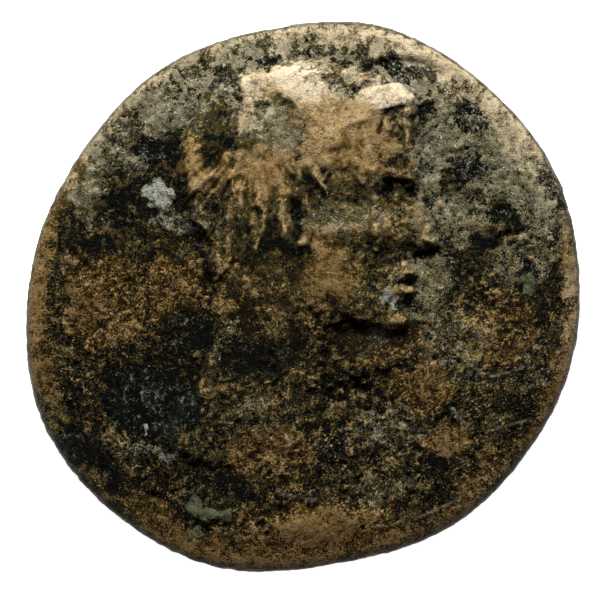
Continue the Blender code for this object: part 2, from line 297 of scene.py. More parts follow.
stains = {
    "bare": (
        (1.7, 7.7, 4.6, 2.7, -8, 0.62), (2.5, 8.7, 3.2, 1.9, -8, 0.95), (-0.8, 10.4, 2.4, 1.2, 0, 0.9),
        (0.6, 9.6, 2.4, 1.2, -5, 0.7), (4.0, 9.9, 2.2, 0.9, -10, 0.9), (-2.7, 9.4, 0.8, 2.2, 0, 0.75),
        (-1.7, 6.2, 2.2, 1.5, -30, 0.6), (1.0, 1.4, 2.0, 2.4, 20, 0.55), (1.9, 0.6, 1.1, 0.9, 30, 0.5),
        (-4.8, 6.0, 1.5, 1.4, 0, 0.5), (5.8, -4.4, 1.8, 1.1, 20, 0.5), (0.8, -11.3, 3.8, 1.2, 5, 0.6),
        (5.4, 3.8, 0.9, 0.8, 0, 0.5), (8.6, 3.4, 0.9, 0.6, 0, 0.5), (-5.9, 6.3, 0.6, 0.8, 0, 0.5),
        (-9.4, 2.2, 1.8, 1.6, 0, 0.4), (-10.7, -0.6, 1.4, 1.8, 0, 0.45), (7.0, -7.1, 1.2, 0.8, 0, 0.45),
        (-6.3, 0.4, 1.4, 1.6, 0, 0.4),
    ),
    "warm": (
        (-9.8, -0.2, 2.6, 3.2, 0, 0.5), (-6.3, 0.8, 1.8, 2.6, 0, 0.6), (-1.6, -0.2, 3.8, 3.0, 0, 0.35),
        (1.2, 1.3, 1.8, 1.8, 0, 0.9), (-4.8, 6.2, 1.5, 1.5, 0, 0.8), (-2.1, 5.7, 1.8, 1.4, 0, 0.7),
        (2.3, 7.3, 2.6, 1.1, 0, 0.9), (5.8, -4.4, 2.0, 1.4, 0, 0.7), (7.0, -7.1, 1.6, 1.0, 0, 0.6),
        (9.7, -1.7, 2.4, 2.2, 0, 0.4), (0.8, -11.3, 5.4, 1.5, 3, 0.9), (8.7, -9.0, 2.6, 1.2, 50, 0.5),
        (-7.5, -10.3, 2.0, 0.9, -35, 0.7), (-1.6, -7.8, 2.8, 1.8, 0, 0.5), (3.6, -2.2, 2.6, 1.4, 0, 0.6),
    ),
    "veil": (
        (-5.8, 9.7, 3.2, 1.6, 40, 0.8), (-8.3, 7.2, 2.2, 1.3, 50, 0.6), (-1.4, 8.5, 1.3, 0.9, 0, 0.8),
        (2.1, 3.8, 3.2, 1.0, 0, 0.6), (6.1, 6.6, 2.9, 1.0, 90, 1.0), (8.7, 7.2, 3.8, 2.4, -45, 1.0),
        (11.2, 4.8, 2.4, 1.3, -65, 1.0), (7.2, 3.8, 2.4, 1.8, 0, 0.9), (10.7, 1.8, 2.0, 2.0, 0, 0.7),
        (5.9, 0.6, 1.8, 2.2, 0, 0.8), (4.3, -6.4, 2.6, 1.4, 0, 0.5), (7.7, -2.6, 2.8, 2.4, 0, 0.55),
        (-10.9, 5.0, 0.9, 2.2, 25, 0.6), (4.0, -9.4, 2.4, 0.9, 0, 0.5),
        (-5.6, 3.5, 1.3, 0.9, 0, 0.7), (-3.6, -1.7, 2.6, 0.8, -20, 0.35), (-2.1, -6.1, 2.2, 1.6, 0, 0.4),
        (2.5, 12.0, 3.2, 0.8, -5, 0.6), (-1.2, 7.9, 1.4, 1.2, 10, 0.8), (11.4, -3.2, 1.4, 2.6, 0, 0.35),
    ),
    "dark": (
        # the first dark patch below is painted shade in the fold over the forelock
        (4.9, 11.35, 2.2, 0.35, -6, 0.8), (-7.3, -5.1, 3.0, 2.4, -5, 1.0), (-11.2, -7.3, 1.4, 0.9, -60, 1.0),
        (-7.4, 7.1, 1.1, 0.9, 0, 0.8), (-9.8, 2.4, 1.0, 0.7, 0, 0.5), (-1.0, 1.4, 2.2, 2.4, 0, 0.35),
        (-8.9, 4.4, 0.7, 0.9, 0, 0.5),
        (-4.1, 10.9, 0.9, 0.5, 0, 0.5), (-1.8, 11.5, 1.1, 0.4, 10, 0.5), (-2.6, -2.1, 3.2, 2.2, 0, 0.5),
        # the first dark patch below, at (3.3, -2.1), is painted shade under the jaw
        (3.3, -2.1, 2.4, 0.9, 10, 0.7), (-0.8, 2.0, 1.4, 1.6, 0, 0.5), (-6.1, 2.3, 0.9, 0.9, 0, 0.5),
        (-5.6, -1.7, 1.8, 1.5, 0, 0.6), (8.2, 8.7, 1.6, 0.8, -30, 0.65), (8.0, 6.2, 1.2, 0.6, 0, 0.8),
        (9.7, 4.0, 1.0, 0.5, 0, 0.7), (8.7, 2.8, 1.0, 0.5, 0, 0.7), (10.8, 1.4, 0.6, 0.45, 0, 1.0),
        (6.7, -8.3, 1.0, 0.7, 0, 0.6), (10.7, -5.1, 1.0, 1.6, 0, 0.3),
        (-3.1, -9.3, 2.2, 0.8, 0, 0.5), (-9.5, -8.6, 1.4, 0.7, -45, 0.6),
        (-11.1, -3.9, 0.35, 0.35, 0, 1.0), (-10.9, -4.6, 0.3, 0.3, 0, 1.0), (-11.4, -5.2, 0.3, 0.25, 0, 1.0),
        # the last dark patch below, at (6.2, 9.4), is painted shadow under the tip of the forelock
        (-4.3, 7.2, 1.1, 0.7, 0, 0.7), (-5.8, -10.7, 0.6, 0.4, 0, 0.8), (6.2, 9.4, 0.4, 0.9, 20, 0.5),
    ),
    # painted highlight: pale patches over the top and the right, where the light falls
    "pale": (
        (0.3, 10.7, 3.4, 1.8, -5, 1.0), (4.2, 9.9, 3.2, 1.5, -12, 1.0), (-2.6, 9.6, 1.6, 2.6, 0, 0.8),
        (0.3, 12.3, 4.0, 0.9, 0, 0.6), (12.3, 3.2, 0.7, 1.8, 0, 0.6),
        (10.8, 6.6, 2.2, 1.2, -60, 0.5), (9.0, 8.6, 2.0, 0.8, -45, 0.4),
    ),
    "grey": (
        (-7.1, 4.9, 1.0, 1.0, 0, 0.9), (-6.9, 3.7, 0.7, 0.5, 0, 0.7), (-5.2, 3.4, 1.1, 0.35, 20, 0.7),
        (4.1, 0.0, 0.5, 0.8, 0, 0.9), (8.0, 7.4, 0.9, 0.4, 0, 0.5), (9.6, 6.3, 0.6, 0.5, 0, 0.5),
        (3.5, -6.7, 0.6, 0.3, 0, 0.6), (7.6, -5.9, 0.5, 0.4, 0, 0.6), (-3.6, 10.2, 1.2, 0.6, 20, 0.5),
        (-4.6, 9.3, 0.9, 0.7, 0, 0.5), (-6.5, 9.1, 0.9, 0.7, 0, 0.5), (1.5, 12.2, 1.2, 0.5, 0, 0.5),
        (3.9, 12.3, 0.8, 0.5, -15, 0.5), (4.6, 10.75, 1.7, 0.35, -8, 0.6), (6.7, 7.6, 1.2, 0.3, 88, 0.7),
        (6.8, 1.8, 1.4, 0.6, 0, 0.4), (1.8, -7.1, 1.6, 0.9, 0, 0.4), (-7.4, -7.6, 2.2, 0.4, -5, 0.6),
        (-7.9, -6.5, 0.16, 0.16, 0, 1.2), (10.4, 8.4, 0.9, 0.5, -50, 0.5), (12.0, 5.2, 0.8, 0.4, -70, 0.5),
    ),
    "green": (
        (11.1, 0.6, 0.6, 0.55, 0, 1.0), (-4.7, -10.4, 1.25, 0.62, -12, 1.0), (-5.1, -11.4, 0.7, 0.5, 0, 1.0),
        (-3.9, -10.7, 0.5, 0.5, 0, 1.0), (-6.1, 2.1, 0.6, 0.5, 0, 0.6), (12.6, 5.0, 0.3, 0.5, 0, 0.8),
        (-4.5, 6.6, 0.6, 0.6, 0, 0.5), (11.7, -0.4, 0.5, 0.7, 0, 0.5), (6.3, 10.9, 0.5, 0.4, 0, 0.5),
    ),
}

# Bands of the patina along the rim, with a painted highlight in the pale bands and in the stronger rubbed
# metal on the upper rim: kind, first angle, last angle, inner radius, outer radius, strength

rimBands = (
    ("bare", 22, 104, 12.0, 14.0, 0.8), ("bare", -45, 24, 12.5, 14.0, 0.6),
    ("bare", 100, 158, 12.0, 14.0, 0.65), ("bare", 155, 210, 12.3, 14.2, 0.5),
    ("bare", 225, 318, 11.9, 14.2, 0.45), ("dark", 205, 232, 12.2, 13.6, 0.6),
    ("pale", 12, 112, 11.9, 14.3, 0.8), ("pale", 108, 165, 11.9, 14.3, 0.6),
    ("pale", -20, 14, 12.4, 14.3, 0.45), ("veil", 20, 160, 11.0, 13.6, 0.6),
    ("warm", 140, 205, 12.2, 14.2, 0.8), ("warm", 228, 312, 11.9, 14.2, 0.8),
    ("warm", 318, 370, 12.5, 14.2, 0.5),
)


def crispness(kind):
    # the rubbed patches and the painted highlight fade out more slowly than the others
    return 1.2 if kind in ("pale", "bare") else 2.0


def paintObverse(places):
    # the strength of each kind of patina and of the painted highlight, with edges that wander
    px = places[:, 0] + 0.5 * cloud(places, 0.9, 3.1)
    py = places[:, 1] + 0.5 * cloud(places, 0.9, 7.7)
    angle, radius = np.degrees(np.arctan2(py, px)) % 360, np.hypot(px, py)
    paint = {}
    for kind, patches in stains.items():
        amount = np.zeros(px.shape)
        for patch in patches:
            share = ramp(crispness(kind) * swell(px, py, patch[:2], *patch[2:5]))
            amount = np.maximum(amount, patch[5] * share)
        for bandKind, first, last, inner, outer, strength in rimBands:
            if bandKind == kind:
                past = (angle - first) % 360
                share = ramp(past / 12) * ramp((last - first - past) / 12) * ramp((radius - inner) / 0.7)
                amount = np.maximum(amount, strength * share * ramp((outer - radius) / 0.5))
        paint[kind] = amount
    return paint


def obverseHeight(x, y):
    radius, angle = np.hypot(x, y), np.arctan2(y, x)
    fromShoulder = outlineRadius(angle) - flan["shoulder"] - radius
    side, rise = flan["thickSide"]
    height = flan["field"] + flan["dome"] * (1 - (radius / flan["radius"]) ** 2)
    height = height + rise * radius / flan["radius"] * np.cos(angle - math.radians(side))
    height = height - flan["marginFall"] * (1 - marginShare(x, y))
    relief = headRelief(x, y)
    for form in wear["forms"].values():
        relief = relief + form[5] * swell(x, y, form[:2], *form[2:5])
    return height + relief * ramp((fromShoulder + 0.8) / 1.6)


# How far corrosion raised or sank the surface

corroded = {
    "swells": 0.050,
    "lumps": 0.110,
    "grains": 0.070,
    "pits": 0.080,
    "crevices": 0.055,
    "grey": 0.03,
    "green": 0.04,
    "scored": 0.03,
}


def corrosion(places, paint, frontShare):
    # the fine relief all over, less of it where the metal is polished, dark or raised
    x, y = places[:, 0], places[:, 1]
    rough = (1 - 0.8 * np.clip(1.25 * paint["bare"], 0, 1)) * (1 - 0.6 * paint["dark"])
    rough = rough * (1 - 0.3 * paint["raised"])
    pits = ramp(2.2 * cloud(places, 0.95, 21.9) - 0.25) + 0.6 * ramp(2.4 * cloud(places, 0.42, 5.5) - 0.5)
    lumps = corroded["lumps"] * cloud(places, 1.1, 41.3, 2)
    grains = corroded["grains"] * cloud(places, 0.34, 31.7, 4)
    crevices = ramp(1 - np.abs(cloud(places, 1.3, 61.3, 2)) / 0.22)
    depth = corroded["swells"] * cloud(places, 2.6, 11.3)
    depth = depth + (lumps + grains - corroded["pits"] * pits - corroded["crevices"] * crevices) * rough
    depth = depth + corroded["grey"] * paint["grey"] + corroded["green"] * paint["green"]
    marks = np.zeros(x.shape)
    for points, width, height in wear["grooves"]:
        marks = marks + height * nearCurve(x, y, points, width)
    marks = marks - corroded["scored"] * paint["scored"]
    for px, py, size, deep in wear["craters"]:
        marks = marks - deep * swell(x, y, (px, py), 1.1 * size, 1.1 * size, 0)
        marks = marks + 0.5 * deep * ring(x, y, (px, py), size, size, 0, 0.22)
    return depth * (0.4 + 0.6 * marginShare(x, y)) + marks * frontShare


# The reverse: a wreath round a rosette inside a border of dots

reverse = {
    "depth": 0.38,
    "wear": 0.14,
    "fullness": 1.5,
    "wreathRadius": 9.23,
    "leaf": (3.4, 1.3),  # length, width
    "leafPairs": 9,
    "splay": 24,
    "spread": 0.42,
    "gap": 16,
    "petals": 8,
    "petal": (3.4, 1.4),  # length, width
    "boss": (1.3, 0.4),  # radius, slope round it
    "dots": (78, 11.55, 0.22, 0.16),  # count, radius of their row, size, height
    "vein": (0.10, 0.09),  # depth, width
}


def wreath(x, y):
    height, veins = np.zeros(x.shape), np.zeros(x.shape)
    length, width = reverse["leaf"]
    veinWidth = reverse["vein"][1]
    for side in (-1, 1):
        for pair in range(reverse["leafPairs"]):
            share = (pair + 0.5) / reverse["leafPairs"]
            degrees = -90 + side * (reverse["gap"] + share * (180 - 2 * reverse["gap"]))
            for splay in (-1, 1):
                out = reverse["wreathRadius"] + splay * side * reverse["spread"] * width
                place = (out * math.cos(math.radians(degrees)), out * math.sin(math.radians(degrees)))
                turn = degrees + side * 90 - splay * reverse["splay"]
                leaf = swell(x, y, place, length / 2, width / 2, turn)
                across = turned(x, y, place, turn)[1]
                veins = np.maximum(veins, ramp(3 * leaf) * np.exp(-((across / veinWidth) ** 2)))
                height = np.maximum(height, leaf)
    return height, veins


def rosette(x, y):
    boss, slope = reverse["boss"]
    length, width = reverse["petal"]
    height = ramp((boss + slope - np.hypot(x, y)) / slope)
    for petal in range(reverse["petals"]):
        turn = 360 * (petal + 0.5) / reverse["petals"]
        out = boss + 0.55 * length
        place = (out * math.cos(math.radians(turn)), out * math.sin(math.radians(turn)))
        height = np.maximum(height, swell(x, y, place, length / 2, width / 2, turn))
    return height


def reverseHeight(x, y):
    struck = reverse["depth"] + reverse["wear"]
    leaves, veins = wreath(x, y)
    relief = np.minimum(reverse["fullness"] * struck * np.maximum(leaves, rosette(x, y)), struck)
    relief = relief - reverse["vein"][0] * veins
    count, radius, size, height = reverse["dots"]
    row = np.exp(-(((np.hypot(x, y) - radius) / size) ** 2))
    relief = relief + height * row * np.clip(np.cos(count * np.arctan2(y, x)), 0, 1)
    return np.maximum(reverse["depth"] + flan["marginFall"] * (1 - marginShare(x, y)) - relief, 0)


# Modelling steps that are used more than once

def deselectAll():
    if bpy.context.mode != "OBJECT":
        bpy.ops.object.mode_set(mode="OBJECT")
    bpy.ops.object.select_all(action="DESELECT")


def readPlaces(piece):
    places = np.empty(3 * len(piece.data.vertices))
    piece.data.vertices.foreach_get("co", places)
    return places.reshape(-1, 3)


def writePlaces(piece, places):
    piece.data.vertices.foreach_set("co", places.ravel())
    piece.data.update()


def struckFace(name, squares, heightOf):
    # a grid spread over the disc inside the shoulder, then raised to its relief
    deselectAll()
    bpy.ops.mesh.primitive_grid_add(x_subdivisions=squares, y_subdivisions=squares, size=2)
    piece = bpy.context.active_object
    piece.name = name
    places = readPlaces(piece)
    s, t = places[:, 0], places[:, 1]
    x, y = s * np.sqrt(1 - t * t / 2), t * np.sqrt(1 - s * s / 2)
    angle = np.arctan2(y, x)
    radius = np.hypot(x, y) * (outlineRadius(angle) - flan["shoulder"])
    x, y = radius * np.cos(angle), radius * np.sin(angle)
    writePlaces(piece, mm * np.stack([x, y, heightOf(x, y)], 1))
    return piece


def roundTheEdge(piece):
    # the border is extruded ring by ring, down the rounded edge to the reverse
    bpy.ops.object.mode_set(mode="EDIT")
    bpy.ops.mesh.select_mode(type="EDGE")
    bpy.ops.mesh.select_all(action="SELECT")
    bpy.ops.mesh.region_to_loop()
    for step in range(1, flan["edgeRings"] + 1):
        # a small move only parts the new ring from the last, before it goes to its place
        bpy.ops.mesh.extrude_region_move(TRANSFORM_OT_translate={"value": (0, 0, -0.1 * mm)})
        bpy.ops.object.mode_set(mode="OBJECT")
        chosen = np.zeros(len(piece.data.vertices), bool)
        piece.data.vertices.foreach_get("select", chosen)
        places = readPlaces(piece)
        angle = np.arctan2(places[chosen, 1], places[chosen, 0])
        outline = outlineRadius(angle)
        x, y = (outline - flan["shoulder"]) * np.cos(angle), (outline - flan["shoulder"]) * np.sin(angle)
        top, foot = obverseHeight(x, y), reverseHeight(x, y)
        turn = math.pi * step / (flan["edgeRings"] + 1)
        out = math.sin(turn) ** (2 / flan["squareness"])
        up = math.copysign(abs(math.cos(turn)) ** (2 / flan["squareness"]), math.cos(turn))
        height = (top + foot) / 2 + up * (top - foot) / 2
        radius = outline - flan["shoulder"] * (1 - out)
        places[chosen] = mm * np.stack([radius * np.cos(angle), radius * np.sin(angle), height], 1)
        writePlaces(piece, places)
        bpy.ops.object.mode_set(mode="EDIT")
    bpy.ops.object.mode_set(mode="OBJECT")


def makeCoin():
    back = struckFace("reverseFace", flan["reverseGrid"], reverseHeight)
    bpy.ops.object.mode_set(mode="EDIT")
    bpy.ops.mesh.select_all(action="SELECT")
    bpy.ops.mesh.flip_normals()
    piece = struckFace("struckCoin", flan["obverseGrid"], obverseHeight)
    roundTheEdge(piece)
    deselectAll()
    back.select_set(True)
    piece.select_set(True)
    bpy.context.view_layer.objects.active = piece
    bpy.ops.object.join()
    bpy.ops.object.mode_set(mode="EDIT")
    bpy.ops.mesh.select_mode(type="EDGE")
    bpy.ops.mesh.select_all(action="DESELECT")
    bpy.ops.mesh.select_non_manifold(extend=False, use_wire=False, use_boundary=True,
                                     use_multi_face=False, use_non_contiguous=False, use_verts=False)
    bpy.ops.mesh.bridge_edge_loops()
    bpy.ops.mesh.select_all(action="SELECT")
    bpy.ops.mesh.normals_make_consistent(inside=False)
    bpy.ops.object.mode_set(mode="OBJECT")
    bpy.ops.object.shade_smooth()
    return piece


# Corrosion, and what the material reads from the mesh

def readNormals(piece):
    normals = np.empty(3 * len(piece.data.vertices))
    piece.data.vertices.foreach_get("normal", normals)
    return normals.reshape(-1, 3)


def hollowness(piece, rounds):
    # how far each point lies under the average of what is round it, in millimetres
    places = readPlaces(piece) / mm
    edges = np.empty(2 * len(piece.data.edges), int)
    piece.data.edges.foreach_get("vertices", edges)
    a, b = edges.reshape(-1, 2).T
    count = len(places)
    neighbours = np.bincount(a, minlength=count) + np.bincount(b, minlength=count)
    averaged = places.copy()
    for _ in range(rounds):
        total = np.stack([np.bincount(a, averaged[b, k], count) + np.bincount(b, averaged[a, k], count)
                          for k in range(3)], 1)
        averaged = (averaged + total / neighbours[:, None]) / 2
    return ((averaged - places) * readNormals(piece)).sum(1)


scattered = {
    "seed": 19,
    "patches": 72,
    "reach": 13,
    "small": 0.6,  # the grey and green ones
    "large": 1.5,
}


def scatteredPaint(places, kinds):
    # patches of patina for the side that the photograph doesn't show
    chance = np.random.default_rng(scattered["seed"])
    x = places[:, 0] + 0.7 * cloud(places, 0.9, 13.1)
    y = places[:, 1] + 0.7 * cloud(places, 0.9, 17.7)
    paint = {kind: np.zeros(x.shape) for kind in kinds}
    for number in range(scattered["patches"]):
        kind = kinds[number % len(kinds)]
        size = scattered["small" if kind in ("grey", "green") else "large"]
        angle, out = chance.uniform(0, 2 * math.pi), scattered["reach"] * math.sqrt(chance.uniform())
        place = (out * math.cos(angle), out * math.sin(angle))
        length, width = size * chance.uniform(0.8, 2.4), size * chance.uniform(0.6, 1.3)
        patch = swell(x, y, place, length, width, chance.uniform(0, 180))
        paint[kind] = np.maximum(paint[kind], chance.uniform(0.4, 0.9) * ramp(1.3 * patch))
    return paint


ageing = {
    "frontFrom": 0.9,  # the height where the front's patina begins to show on the edge
    "frontRise": 1.2,
    "scratchWidth": 0.04,
    "restSlack": 0.02,
    "pitRounds": 5,  # a few rounds of averaging find the pits, many the hollows of the relief
    "basinRounds": 70,
}


def ageCoin(piece):
    places = readPlaces(piece) / mm
    x, y, z = places.T
    frontShare = ramp((z - ageing["frontFrom"]) / ageing["frontRise"])
    front, back = paintObverse(places), scatteredPaint(places, list(stains))
    layers = {kind: mix(back[kind], front[kind], frontShare) for kind in stains}
    layers["raised"] = frontShare * headRelief(x, y) / head["relief"]
    layers["rim"] = 1 - marginShare(x, y)
    scores = (nearCurve(x, y, points, ageing["scratchWidth"]) for points in wear["scratches"])
    layers["scored"] = sum(scores) * frontShare

    # the upper half of the front is rubbed smoother, and so are parts of the back
    smoother = mix(ramp(0.5 + 0.8 * cloud(places, 4.0, 71.3, 2)), ramp((y + 1.5) / 8), frontShare)
    layers["gritty"] = 1 - 0.75 * smoother
    # painted highlight: the front grows paler towards the top, where the light falls
    layers["pale"] = np.maximum(layers["pale"], 0.45 * frontShare * ramp((y - 5.5) / 6))

    # the coin keeps inside the solid's box and lies flat on its worn tops
    aged = places + readNormals(piece) * corrosion(places, layers, frontShare)[:, None]
    low, high = np.array(cadBox) / mm
    aged = np.clip(aged, low, high)
    aged[z < ageing["restSlack"], 2] = 0
    writePlaces(piece, aged * mm)

    layers["pit"] = hollowness(piece, ageing["pitRounds"])
    layers["basin"] = hollowness(piece, ageing["basinRounds"])
    for name, values in layers.items():
        attribute = piece.data.attributes.new(name, "FLOAT", "POINT")
        attribute.data.foreach_set("value", values.astype(np.float32))
    for name in ("pit", "basin"):
        print(name, "from", *np.round(np.percentile(layers[name], (1, 20, 50, 80, 99)), 3))


# Materials: a wire is a number, a colour or a vector on its way between nodes

class Wire:
    def __init__(self, bench, socket):
        self.bench, self.socket = bench, socket

    def maths(self, operation, *others):
        return self.bench.node("ShaderNodeMath", {"operation": operation}, {
            number: value for number, value in enumerate((self,) + others)})

    def __add__(self, other):
        return self.maths("ADD", other)

    def __sub__(self, other):
        return self.maths("SUBTRACT", other)

    def __rsub__(self, other):
        return self.bench.node("ShaderNodeMath", {"operation": "SUBTRACT"}, {0: other, 1: self})

    def __mul__(self, other):
        return self.maths("MULTIPLY", other)

    def clamped(self):
        return self.maths("MAXIMUM", 0.0).maths("MINIMUM", 1.0)

    __radd__ = __add__
    __rmul__ = __mul__


class Bench:
    def __init__(self, name):
        self.material = bpy.data.materials.new(name)
        self.material.use_nodes = True
        self.tree = self.material.node_tree
        self.shader = self.tree.nodes["Principled BSDF"]

    def node(self, kind, settings=None, inputs=None, output=0):
        made = self.tree.nodes.new(kind)
        for name, value in (settings or {}).items():
            setattr(made, name, value)
        for name, value in (inputs or {}).items():
            self.plug(made.inputs[name], value)
        return Wire(self, made.outputs[output])

    def plug(self, socket, value):
        if isinstance(value, Wire):
            self.tree.links.new(value.socket, socket)
        else:
            socket.default_value = value

    def attribute(self, name):
        return self.node("ShaderNodeAttribute", {"attribute_name": name}, output="Fac")

    def step(self, value, low, high):
        # 0 below low, 1 above high, smooth between
        return self.node("ShaderNodeMapRange", {"interpolation_type": "SMOOTHSTEP"},
                         {"Value": value, "From Min": low, "From Max": high})

    def blend(self, share, below, above):
        return self.node("ShaderNodeMix", {"data_type": "RGBA"}, {0: share, 6: below, 7: above}, output=2)

    def scaled(self, vector, factor):
        return self.node("ShaderNodeVectorMath", {"operation": "SCALE"}, {0: vector, "Scale": factor})

    def cloud(self, here, size, seed, detail=3.0, roughness=0.6):
        # noise round 0, mostly within 1 either way, with lumps of that size in millimetres
        plain = self.node("ShaderNodeTexNoise", {"noise_dimensions": "4D"}, {
            "Vector": here, "W": seed, "Scale": 1 / size, "Detail": detail, "Roughness": roughness})
        return (plain - 0.5) * 4.0

    def streaks(self, here, turn, seed):
        # noise drawn out into hairlines, turned that many degrees from upright
        upright = self.node("ShaderNodeMapping", inputs={
            "Vector": here, "Rotation": (0, 0, math.radians(turn))})
        drawnOut = self.node("ShaderNodeMapping", inputs={"Vector": upright, "Scale": (1, 0.045, 1)})
        return self.cloud(drawnOut, 0.06, seed, 2.0)

    def glintDots(self, here, size):
        # painted glints: small sharp grains scattered over the surface, 1 on them and 0 between
        cells = self.node("ShaderNodeTexVoronoi", output="Distance", inputs={
            "Vector": here, "Scale": 1 / size})
        return self.step(0.0 - cells, -0.42, -0.22)


def rgb(red, green, blue):
    # a colour as a painter reads it off, 0 to 255
    return tuple(((part / 255 + 0.055) / 1.055) ** 2.4 for part in (red, green, blue)) + (1.0,)


bronzeLook = {
    # painted highlight on the rubbed metal
    "creamHighlight": rgb(164, 153, 131),
    "bronze": rgb(124, 106, 75),
    # for the scratches, and for painted highlights and glints
    "sandAndHighlight": rgb(158, 146, 120),
    "tan": rgb(138, 115, 76),
    "rust": rgb(90, 66, 27),
    "brown": rgb(50, 40, 14),
    "olive": rgb(43, 41, 21),
    "veil": rgb(92, 88, 66),
    "slate": rgb(130, 127, 111),
    # painted glints
    "glintFleck": rgb(190, 188, 172),
    "ash": rgb(49, 45, 33),
    "mist": rgb(109, 104, 87),
    "umber": rgb(18, 11, 1),
    "black": rgb(2, 2, 0),
    "charcoal": rgb(17, 24, 16),
    "grey": rgb(134, 136, 124),
    "green": rgb(88, 90, 68),
    "moss": rgb(54, 57, 38),
}


# The bronze is mixed from noises: size in millimetres, seed, detail, roughness

bronzeNoise = {
    "broad": (3.0, 1.0, 3.0, 0.6),
    "lumps": (0.8, 2.0, 3.0, 0.6),
    "blotch": (0.36, 3.0, 4.0, 0.65),
    "mottle": (0.26, 6.0, 4.0, 0.7),
    "speck": (0.12, 4.0, 3.0, 0.7),
    "grain": (0.06, 5.0, 2.0, 0.6),
    "plates": (1.0, 12.0, 3.0, 0.6),
}

bronzeFinish = {
    "lowest": -0.7,  # deeper hollows get no darker
    # size of the painted glints, in millimetres
    "glintDots": 0.17,
    "scratchTurns": ((25, 7.0), (-68, 8.0), (-12, 9.0)),  # degrees, seed
    "specular": 0.03,
    "bumpDepth": 0.050,
}


def pick(surface, names):
    return [surface[name] for name in names.split()]


def readSurface(bench):
    # the noises, and the layers that ageing left on the mesh, the painted highlight and shade among them
    finish = bronzeFinish
    straight = bench.scaled(bench.node("ShaderNodeTexCoord", output="Object"), 1 / mm)
    here = bench.node("ShaderNodeMapping", inputs={"Vector": straight, "Rotation": noiseTurn})
    surface = {name: bench.cloud(here, *values) for name, values in bronzeNoise.items()}
    for name in (*stains, "raised", "rim", "gritty", "scored", "pit", "basin"):
        surface[name] = bench.attribute(name)
    surface["glintDots"] = bench.glintDots(here, finish["glintDots"])
    surface["scratches"] = sum(bench.streaks(straight, turn, seed) for turn, seed in finish["scratchTurns"])

    # how high a place stands: under 0 in the hollows, over 0 on what the hand rubs
    pit, basin, rim, raised, gritty = pick(surface, "pit basin rim raised gritty")
    sunk = (-14.0 * pit - (2.4 + 1.2 * raised) * basin) * (1.0 - 0.8 * rim)
    high = (sunk + 0.35 * raised).maths("MAXIMUM", finish["lowest"])

    # how light the patina is, where creases cross it and where it is charred
    warm, veil, dark = pick(surface, "warm veil dark")
    broad, lumps, blotch, speck, grain = pick(surface, "broad lumps blotch speck grain")
    fine = (0.65 * blotch + 0.90 * speck + 1.20 * grain) * (0.35 + 0.65 * gritty) * (1.0 - 0.45 * raised)
    tone = 0.50 * warm + 0.35 * veil - 1.0 * dark + 0.7 * high + 0.3 * broad + 0.5 * lumps + fine
    crease = 1.0 - bench.step((lumps + 0.3 * blotch + 0.2 * speck).maths("ABSOLUTE"), 0.02, 0.24)
    charred = bench.step(dark + 0.25 * lumps + 0.2 * speck, 0.55, 1.0)
    surface.update(high=high, tone=tone, crease=crease, charred=charred)
    return surface


def patinaColour(bench, surface):
    # brown, olive or greyish, with ochre on the high spots, black in the hollows and a painted highlight in
    # sand colour where the pale layer lies
    look = bronzeLook
    broad, lumps, mottle, speck, grain = pick(surface, "broad lumps mottle speck grain")
    warm, veil, pale, raised = pick(surface, "warm veil pale raised")
    high, tone, crease, charred = pick(surface, "high tone crease charred")
    oliveShare = bench.step(0.5 * broad + 0.6 * mottle - 1.2 * warm, -0.6, 0.4)
    colour = bench.blend(oliveShare, look["brown"], look["olive"])
    veilShare = bench.step(1.0 * veil + 0.6 * mottle + 0.4 * lumps + 0.6 * grain - 0.3 * warm, 0.25, 1.1)
    grime = bench.blend(bench.step(mottle + 0.6 * lumps, 0.0, 1.2), look["veil"], look["slate"])
    colour = bench.blend(0.85 * veilShare, colour, grime)
    ochreShare = bench.step(tone + 0.2 * warm - 0.3 * veilShare, 0.40, 1.05)
    ochre = bench.blend(bench.step(mottle + 0.6 * speck + 0.5 * high, -0.3, 1.0), look["rust"], look["tan"])
    colour = bench.blend(ochreShare, colour, ochre)
    colour = bench.blend(charred, colour, look["charcoal"])
    deep = bench.blend(bench.step(warm, 0.1, 0.6), look["black"], look["umber"])
    creased = crease * (0.45 - 0.3 * veil) * (1.0 - 0.6 * raised)
    lowShare = bench.step(creased - tone - 0.5 * charred, -0.25, 0.32)
    colour = bench.blend(lowShare, colour, deep)
    # painted highlight: sand colour where the pale layer lies
    sandAndHighlightShare = bench.step(pale + 0.5 * mottle + 0.4 * lumps + 0.5 * grain, 0.55, 1.6)
    return bench.blend(0.6 * sandAndHighlightShare, colour, look["sandAndHighlight"])


